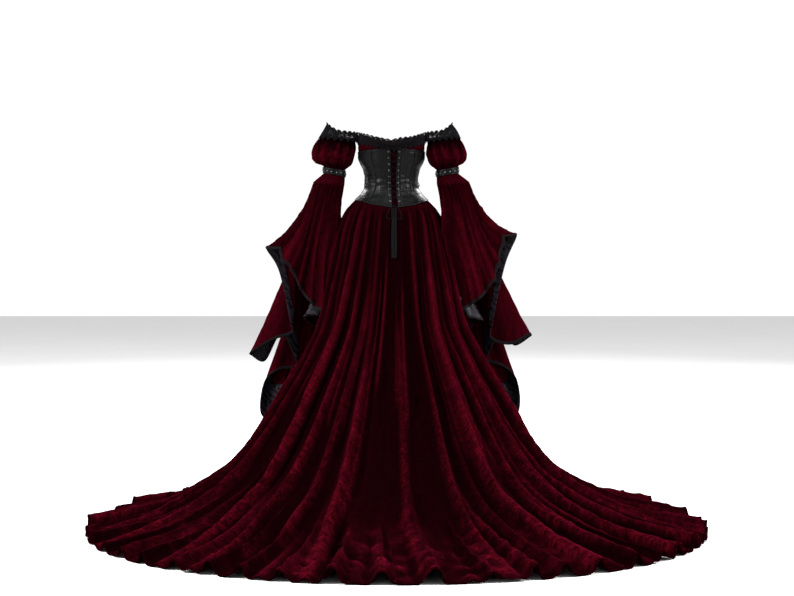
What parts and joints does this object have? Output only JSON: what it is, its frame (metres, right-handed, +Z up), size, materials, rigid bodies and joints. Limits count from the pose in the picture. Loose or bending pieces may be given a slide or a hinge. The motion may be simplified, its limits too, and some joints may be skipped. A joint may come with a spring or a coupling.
{
  "type": "long gown with corset, bell sleeves and train",
  "caption": "Off-shoulder velvet gown with a laced leather corset, lace edging, tiered bell sleeves and a long round train, in its worn shape.",
  "frame": {"origin": "centre of the waist, inside the gown, 1.147 m above the floor that the hem lies on", "axes": "+Z up, +Y the way the wearer faces, +X the wearer's right; the train lies towards -Y"},
  "size_m": [2.0032, 1.9988, 1.3521],
  "materials": {
    "velvet": "dark burgundy velvet with a soft nap",
    "lining": "black woven lining with a dull purple-grey pattern",
    "braid": "black braid trim",
    "leather": "black leather, soft sheen",
    "placket": "black leather strip, doubled",
    "lace": "black scalloped lace",
    "cord": "thin black cord",
    "tape": "flat black lace tape"
  },
  "bodies": {
    "root": {"skirt_back_r": "velvet", "skirt_back_l": "velvet", "skirt_side_back_r": "velvet", "skirt_side_back_l": "velvet", "skirt_side_front_r": "velvet", "skirt_side_front_l": "velvet", "skirt_front": "velvet", "bodice_back": "velvet", "bodice_front": "velvet", "puff_r": "velvet", "puff_l": "velvet", "bell_r": "velvet", "bell_l": "velvet", "bell_lining_r": "lining", "bell_lining_l": "lining", "bell_trim_r": "braid", "bell_trim_l": "braid", "arm_band_r": "leather", "arm_band_l": "leather", "corset_placket_r": "placket", "corset_placket_l": "placket", "corset_back_r": "leather", "corset_back_l": "leather", "corset_side_back_r": "leather", "corset_side_back_l": "leather", "corset_side_front_r": "leather", "corset_side_front_l": "leather", "corset_front": "leather", "neck_lace_back": "lace", "neck_lace_front": "lace", "sleeve_lace_back_r": "lace", "sleeve_lace_back_l": "lace", "sleeve_lace_front_r": "lace", "sleeve_lace_front_l": "lace", "lacing_under": "cord", "lacing_over": "cord", "bow_knot": "cord", "bow_loop_r": "cord", "bow_loop_l": "cord", "lace_end_r": "tape", "lace_end_l": "tape"}
  },
  "joints": []
}
